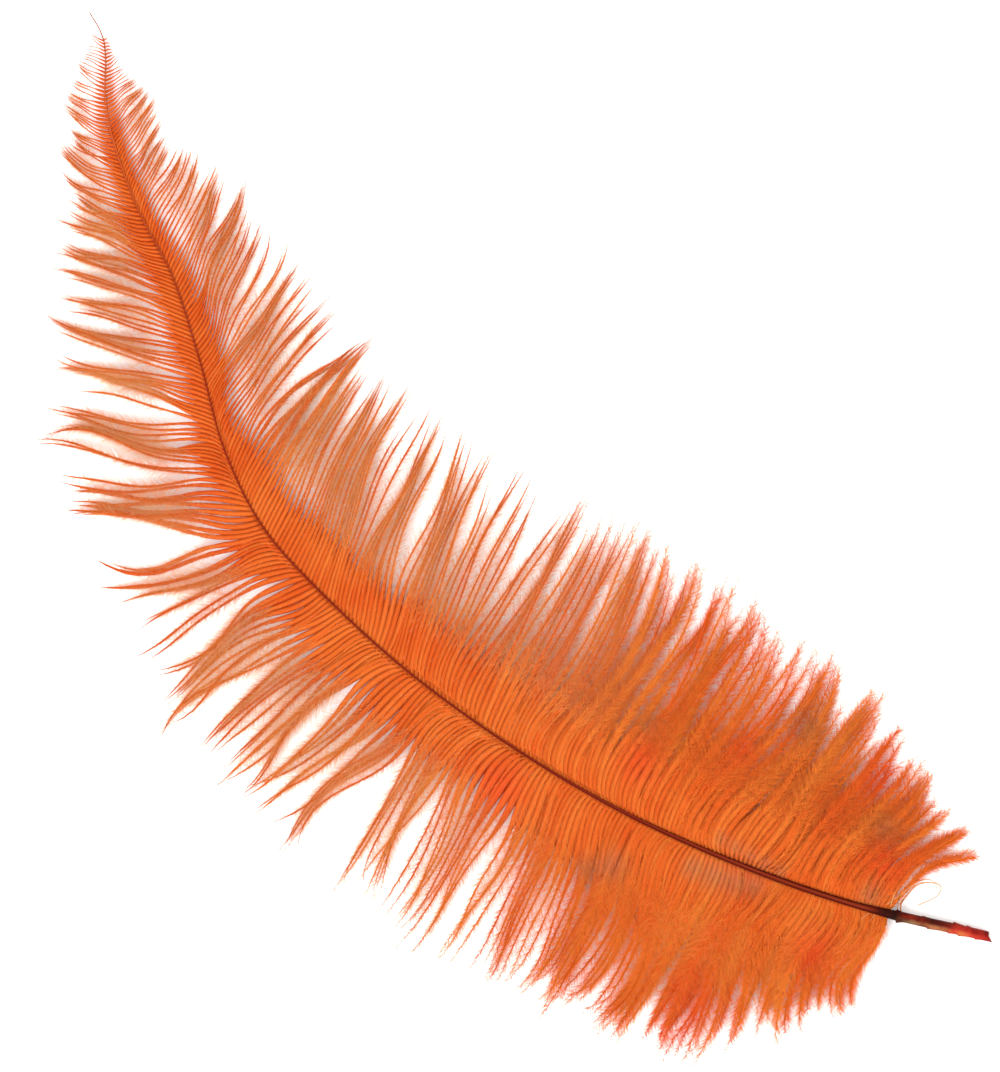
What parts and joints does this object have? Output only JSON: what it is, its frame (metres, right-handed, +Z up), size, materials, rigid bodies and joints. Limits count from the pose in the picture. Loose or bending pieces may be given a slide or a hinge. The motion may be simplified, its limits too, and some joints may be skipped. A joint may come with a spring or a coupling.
{
  "type": "ostrich feather",
  "caption": "Dyed orange ostrich plume lying flat: a bowed shaft with a bare cut quill, dense downy barbs at its base and open, drooping barbs towards its tip.",
  "frame": {"origin": "on the surface that the feather lies on, under the middle of its outline", "axes": "+X from the cut quill end to the tip along the chord of the bowed shaft, +Y towards the side that the shaft bows to, +Z up out of the upper face"},
  "size_m": [0.3238, 0.138, 0.0068],
  "materials": {
    "shaft_horn": "dyed horn, dark red-brown at the edges with a paler groove, satin; brighter red and flaking at the quill",
    "dyed_barbs": "soft matt orange down, a little see-through where it is thin, darker at the barb tips"
  },
  "bodies": {
    "root": {"shaft": "shaft_horn", "left_vane": "dyed_barbs", "right_vane": "dyed_barbs"}
  },
  "joints": []
}
